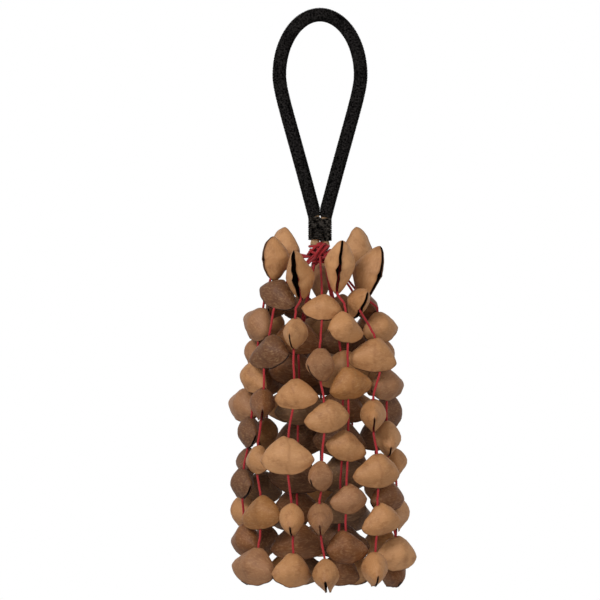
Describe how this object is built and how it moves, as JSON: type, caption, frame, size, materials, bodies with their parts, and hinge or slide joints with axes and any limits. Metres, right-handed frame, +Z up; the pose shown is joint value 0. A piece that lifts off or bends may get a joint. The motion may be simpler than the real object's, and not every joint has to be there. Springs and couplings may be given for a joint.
{
  "type": "seed shell shaker",
  "caption": "Hand shaker: a cord-wound rope loop whose bound foot carries a knot and a bundle of hanging red threads strung with hollow split seed shells.",
  "frame": {"origin": "inside of the top of the hand loop, where a hand or a peg carries the shaker", "axes": "+Z up along the hanging shaker, X across the flat of the hand loop, -Y the front seen in the picture"},
  "size_m": [0.1101, 0.1052, 0.3369],
  "materials": {
    "rope": "matte twisted fibre",
    "black_cord": "tightly wound matte cord",
    "red_thread": "twisted cotton",
    "seed_shell": "dry smooth nut shell with darker broken rims"
  },
  "bodies": {
    "handle": {"core_rope": "rope", "handle_winding": "black_cord", "binding_cord": "black_cord", "thread_stem": "red_thread", "knot_coil": "red_thread"},
    "front_centre_top": {"front_centre_top": "seed_shell"},
    "front_centre_upper": {"front_centre_upper": "seed_shell"},
    "front_centre_lower": {"front_centre_lower": "seed_shell"},
    "front_right_top": {"front_right_top": "seed_shell"},
    "front_right_upper": {"front_right_upper": "seed_shell"},
    "front_right_lower": {"front_right_lower": "seed_shell"},
    "right_front_top": {"right_front_top": "seed_shell"},
    "right_front_upper": {"right_front_upper": "seed_shell"},
    "right_front_lower": {"right_front_lower": "seed_shell"},
    "right_side_top": {"right_side_top": "seed_shell"},
    "right_side_upper": {"right_side_upper": "seed_shell"},
    "right_side_lower": {"right_side_lower": "seed_shell"},
    "right_back_top": {"right_back_top": "seed_shell"},
    "right_back_upper": {"right_back_upper": "seed_shell"},
    "right_back_lower": {"right_back_lower": "seed_shell"},
    "back_right_top": {"back_right_top": "seed_shell"},
    "back_right_upper": {"back_right_upper": "seed_shell"},
    "back_right_lower": {"back_right_lower": "seed_shell"},
    "back_right_centre_top": {"back_right_centre_top": "seed_shell"},
    "back_right_centre_upper": {"back_right_centre_upper": "seed_shell"},
    "back_right_centre_lower": {"back_right_centre_lower": "seed_shell"},
    "back_centre_top": {"back_centre_top": "seed_shell"},
    "back_centre_upper": {"back_centre_upper": "seed_shell"},
    "back_centre_lower": {"back_centre_lower": "seed_shell"},
    "back_left_centre_top": {"back_left_centre_top": "seed_shell"},
    "back_left_centre_upper": {"back_left_centre_upper": "seed_shell"},
    "back_left_centre_lower": {"back_left_centre_lower": "seed_shell"},
    "back_left_top": {"back_left_top": "seed_shell"},
    "back_left_upper": {"back_left_upper": "seed_shell"},
    "back_left_lower": {"back_left_lower": "seed_shell"},
    "left_back_top": {"left_back_top": "seed_shell"},
    "left_back_upper": {"left_back_upper": "seed_shell"},
    "left_back_lower": {"left_back_lower": "seed_shell"},
    "left_side_top": {"left_side_top": "seed_shell"},
    "left_side_upper": {"left_side_upper": "seed_shell"},
    "left_side_lower": {"left_side_lower": "seed_shell"},
    "left_front_top": {"left_front_top": "seed_shell"},
    "left_front_upper": {"left_front_upper": "seed_shell"},
    "left_front_lower": {"left_front_lower": "seed_shell"},
    "front_left_top": {"front_left_top": "seed_shell"},
    "front_left_upper": {"front_left_upper": "seed_shell"},
    "front_left_lower": {"front_left_lower": "seed_shell"},
    "inner_left_front_upper": {"inner_left_front_upper": "seed_shell"},
    "inner_left_front_lower": {"inner_left_front_lower": "seed_shell"},
    "inner_right_front_upper": {"inner_right_front_upper": "seed_shell"},
    "inner_right_front_lower": {"inner_right_front_lower": "seed_shell"},
    "inner_right_back_upper": {"inner_right_back_upper": "seed_shell"},
    "inner_right_back_lower": {"inner_right_back_lower": "seed_shell"},
    "inner_left_back_upper": {"inner_left_back_upper": "seed_shell"},
    "inner_left_back_lower": {"inner_left_back_lower": "seed_shell"}
  },
  "joints": [
    {"name": "front_centre_top_swing", "type": "hinge", "parent": "handle", "child": "front_centre_top", "pos_m": [0, -0.0056, -0.13625], "axis": [-1, 0, 0], "range_deg": [0, 8]},
    {"name": "front_centre_upper_swing", "type": "hinge", "parent": "front_centre_top", "child": "front_centre_upper", "pos_m": [0.00036, -0.03289, -0.18082], "axis": [-0.9999, -0.0109, 0], "range_deg": [0, 25]},
    {"name": "front_centre_lower_swing", "type": "hinge", "parent": "front_centre_upper", "child": "front_centre_lower", "pos_m": [-0.00002, -0.04108, -0.27374], "axis": [-1, 0.0005, 0], "range_deg": [0, 25]},
    {"name": "front_right_top_swing", "type": "hinge", "parent": "handle", "child": "front_right_top", "pos_m": [0.00228, -0.00512, -0.13625], "axis": [-0.9135, -0.4067, 0], "range_deg": [0, 8]},
    {"name": "front_right_upper_swing", "type": "hinge", "parent": "front_right_top", "child": "front_right_upper", "pos_m": [0.01385, -0.03068, -0.1634], "axis": [-0.9114, -0.4115, 0], "range_deg": [0, 25]},
    {"name": "front_right_lower_swing", "type": "hinge", "parent": "front_right_upper", "child": "front_right_lower", "pos_m": [0.01539, -0.03211, -0.2603], "axis": [-0.9018, -0.4321, 0], "range_deg": [0, 25]},
    {"name": "right_front_top_swing", "type": "hinge", "parent": "handle", "child": "right_front_top", "pos_m": [0.00416, -0.00375, -0.13625], "axis": [-0.6691, -0.7431, 0], "range_deg": [0, 8]},
    {"name": "right_front_upper_swing", "type": "hinge", "parent": "right_front_top", "child": "right_front_upper", "pos_m": [0.0283, -0.02229, -0.17628], "axis": [-0.6188, -0.7856, 0], "range_deg": [0, 25]},
    {"name": "right_front_lower_swing", "type": "hinge", "parent": "right_front_upper", "child": "right_front_lower", "pos_m": [0.03313, -0.02863, -0.27379], "axis": [-0.6539, -0.7566, 0], "range_deg": [0, 25]},
    {"name": "right_side_top_swing", "type": "hinge", "parent": "handle", "child": "right_side_top", "pos_m": [0.00538, -0.00154, -0.13625], "axis": [-0.2756, -0.9613, 0], "range_deg": [0, 8]},
    {"name": "right_side_upper_swing", "type": "hinge", "parent": "right_side_top", "child": "right_side_upper", "pos_m": [0.03281, -0.00941, -0.16552], "axis": [-0.2756, -0.9613, 0], "range_deg": [0, 25]},
    {"name": "right_side_lower_swing", "type": "hinge", "parent": "right_side_upper", "child": "right_side_lower", "pos_m": [0.03873, -0.01151, -0.25804], "axis": [-0.2849, -0.9586, 0], "range_deg": [0, 25]},
    {"name": "right_back_top_swing", "type": "hinge", "parent": "handle", "child": "right_back_top", "pos_m": [0.0055, 0.00107, -0.13625], "axis": [0.1908, -0.9816, 0], "range_deg": [0, 8]},
    {"name": "right_back_upper_swing", "type": "hinge", "parent": "right_back_top", "child": "right_back_upper", "pos_m": [0.03285, 0.00639, -0.17818], "axis": [0.1908, -0.9816, 0], "range_deg": [0, 25]},
    {"name": "right_back_lower_swing", "type": "hinge", "parent": "right_back_upper", "child": "right_back_lower", "pos_m": [0.04452, 0.00865, -0.26987], "axis": [0.1908, -0.9816, 0], "range_deg": [0, 25]},
    {"name": "back_right_top_swing", "type": "hinge", "parent": "handle", "child": "back_right_top", "pos_m": [0.00447, 0.00337, -0.13625], "axis": [0.6018, -0.7986, 0], "range_deg": [0, 8]},
    {"name": "back_right_upper_swing", "type": "hinge", "parent": "back_right_top", "child": "back_right_upper", "pos_m": [0.02657, 0.02002, -0.15672], "axis": [0.6018, -0.7986, 0], "range_deg": [0, 25]},
    {"name": "back_right_lower_swing", "type": "hinge", "parent": "back_right_upper", "child": "back_right_lower", "pos_m": [0.03294, 0.02482, -0.25512], "axis": [0.6018, -0.7986, 0], "range_deg": [0, 25]},
    {"name": "back_right_centre_top_swing", "type": "hinge", "parent": "handle", "child": "back_right_centre_top", "pos_m": [0.00254, 0.00499, -0.13625], "axis": [0.891, -0.454, 0], "range_deg": [0, 8]},
    {"name": "back_right_centre_upper_swing", "type": "hinge", "parent": "back_right_centre_top", "child": "back_right_centre_upper", "pos_m": [0.01492, 0.02929, -0.17794], "axis": [0.891, -0.454, 0], "range_deg": [0, 25]},
    {"name": "back_right_centre_lower_swing", "type": "hinge", "parent": "back_right_centre_upper", "child": "back_right_centre_lower", "pos_m": [0.01972, 0.0387, -0.27113], "axis": [0.891, -0.454, 0], "range_deg": [0, 25]},
    {"name": "back_centre_top_swing", "type": "hinge", "parent": "handle", "child": "back_centre_top", "pos_m": [0.0001, 0.0056, -0.13625], "axis": [0.9998, -0.0175, 0], "range_deg": [0, 8]},
    {"name": "back_centre_upper_swing", "type": "hinge", "parent": "back_centre_top", "child": "back_centre_upper", "pos_m": [0.00057, 0.03289, -0.16463], "axis": [0.9998, -0.0175, 0], "range_deg": [0, 25]},
    {"name": "back_centre_lower_swing", "type": "hinge", "parent": "back_centre_upper", "child": "back_centre_lower", "pos_m": [0.00072, 0.04124, -0.25512], "axis": [0.9998, -0.0175, 0], "range_deg": [0, 25]},
    {"name": "back_left_centre_top_swing", "type": "hinge", "parent": "handle", "child": "back_left_centre_top", "pos_m": [-0.00237, 0.00507, -0.13625], "axis": [0.9063, 0.4226, 0], "range_deg": [0, 8]},
    {"name": "back_left_centre_upper_swing", "type": "hinge", "parent": "back_left_centre_top", "child": "back_left_centre_upper", "pos_m": [-0.01389, 0.02979, -0.17794], "axis": [0.9063, 0.4226, 0], "range_deg": [0, 25]},
    {"name": "back_left_centre_lower_swing", "type": "hinge", "parent": "back_left_centre_upper", "child": "back_left_centre_lower", "pos_m": [-0.01836, 0.03937, -0.27113], "axis": [0.9063, 0.4226, 0], "range_deg": [0, 25]},
    {"name": "back_left_top_swing", "type": "hinge", "parent": "handle", "child": "back_left_top", "pos_m": [-0.00435, 0.00352, -0.13625], "axis": [0.6293, 0.7771, 0], "range_deg": [0, 8]},
    {"name": "back_left_upper_swing", "type": "hinge", "parent": "back_left_top", "child": "back_left_upper", "pos_m": [-0.02586, 0.02094, -0.15672], "axis": [0.6293, 0.7771, 0], "range_deg": [0, 25]},
    {"name": "back_left_lower_swing", "type": "hinge", "parent": "back_left_upper", "child": "back_left_lower", "pos_m": [-0.03206, 0.02596, -0.25512], "axis": [0.6293, 0.7771, 0], "range_deg": [0, 25]},
    {"name": "left_back_top_swing", "type": "hinge", "parent": "handle", "child": "left_back_top", "pos_m": [-0.00546, 0.00126, -0.13625], "axis": [0.225, 0.9744, 0], "range_deg": [0, 8]},
    {"name": "left_back_upper_swing", "type": "hinge", "parent": "left_back_top", "child": "left_back_upper", "pos_m": [-0.03178, 0.0076, -0.17759], "axis": [0.2327, 0.9725, 0], "range_deg": [0, 25]},
    {"name": "left_back_lower_swing", "type": "hinge", "parent": "left_back_upper", "child": "left_back_lower", "pos_m": [-0.04299, 0.01006, -0.26987], "axis": [0.2278, 0.9737, 0], "range_deg": [0, 25]},
    {"name": "left_side_top_swing", "type": "hinge", "parent": "handle", "child": "left_side_top", "pos_m": [-0.00546, -0.00126, -0.13625], "axis": [-0.225, 0.9744, 0], "range_deg": [0, 8]},
    {"name": "left_side_upper_swing", "type": "hinge", "parent": "left_side_top", "child": "left_side_upper", "pos_m": [-0.03136, -0.00703, -0.15798], "axis": [-0.2189, 0.9757, 0], "range_deg": [0, 25]},
    {"name": "left_side_lower_swing", "type": "hinge", "parent": "left_side_upper", "child": "left_side_lower", "pos_m": [-0.04296, -0.00665, -0.25252], "axis": [-0.153, 0.9882, 0], "range_deg": [0, 25]},
    {"name": "left_front_top_swing", "type": "hinge", "parent": "handle", "child": "left_front_top", "pos_m": [-0.00435, -0.00352, -0.13625], "axis": [-0.6293, 0.7771, 0], "range_deg": [0, 8]},
    {"name": "left_front_upper_swing", "type": "hinge", "parent": "left_front_top", "child": "left_front_upper", "pos_m": [-0.02789, -0.02024, -0.17377], "axis": [-0.5873, 0.8093, 0], "range_deg": [0, 25]},
    {"name": "left_front_lower_swing", "type": "hinge", "parent": "left_front_upper", "child": "left_front_lower", "pos_m": [-0.03525, -0.02235, -0.26768], "axis": [-0.5355, 0.8445, 0], "range_deg": [0, 25]},
    {"name": "front_left_top_swing", "type": "hinge", "parent": "handle", "child": "front_left_top", "pos_m": [-0.00228, -0.00512, -0.13625], "axis": [-0.9135, 0.4067, 0], "range_deg": [0, 8]},
    {"name": "front_left_upper_swing", "type": "hinge", "parent": "front_left_top", "child": "front_left_upper", "pos_m": [-0.01416, -0.0325, -0.16642], "axis": [-0.9167, 0.3995, 0], "range_deg": [0, 25]},
    {"name": "front_left_lower_swing", "type": "hinge", "parent": "front_left_upper", "child": "front_left_lower", "pos_m": [-0.01747, -0.04078, -0.26929], "axis": [-0.9192, 0.3938, 0], "range_deg": [0, 25]},
    {"name": "inner_left_front_upper_swing", "type": "hinge", "parent": "handle", "child": "inner_left_front_upper", "pos_m": [-0.00278, -0.00187, -0.13835], "axis": [-0.5592, 0.829, 0], "range_deg": [0, 2]},
    {"name": "inner_left_front_lower_swing", "type": "hinge", "parent": "inner_left_front_upper", "child": "inner_left_front_lower", "pos_m": [-0.01288, -0.00869, -0.2421], "axis": [-0.5592, 0.829, 0], "range_deg": [0, 3]},
    {"name": "inner_right_front_upper_swing", "type": "hinge", "parent": "handle", "child": "inner_right_front_upper", "pos_m": [0.00284, -0.00178, -0.13835], "axis": [-0.5299, -0.848, 0], "range_deg": [0, 2]},
    {"name": "inner_right_front_lower_swing", "type": "hinge", "parent": "inner_right_front_upper", "child": "inner_right_front_lower", "pos_m": [0.01221, -0.00763, -0.2614], "axis": [-0.5299, -0.848, 0], "range_deg": [0, 3]},
    {"name": "inner_right_back_upper_swing", "type": "hinge", "parent": "handle", "child": "inner_right_back_upper", "pos_m": [0.00284, 0.00178, -0.13835], "axis": [0.5299, -0.848, 0], "range_deg": [0, 2]},
    {"name": "inner_right_back_lower_swing", "type": "hinge", "parent": "inner_right_back_upper", "child": "inner_right_back_lower", "pos_m": [0.01317, 0.00823, -0.2421], "axis": [0.5299, -0.848, 0], "range_deg": [0, 3]},
    {"name": "inner_left_back_upper_swing", "type": "hinge", "parent": "handle", "child": "inner_left_back_upper", "pos_m": [-0.00284, 0.00178, -0.13835], "axis": [0.5299, 0.848, 0], "range_deg": [0, 2]},
    {"name": "inner_left_back_lower_swing", "type": "hinge", "parent": "inner_left_back_upper", "child": "inner_left_back_lower", "pos_m": [-0.01221, 0.00763, -0.2614], "axis": [0.5299, 0.848, 0], "range_deg": [0, 3]}
  ]
}
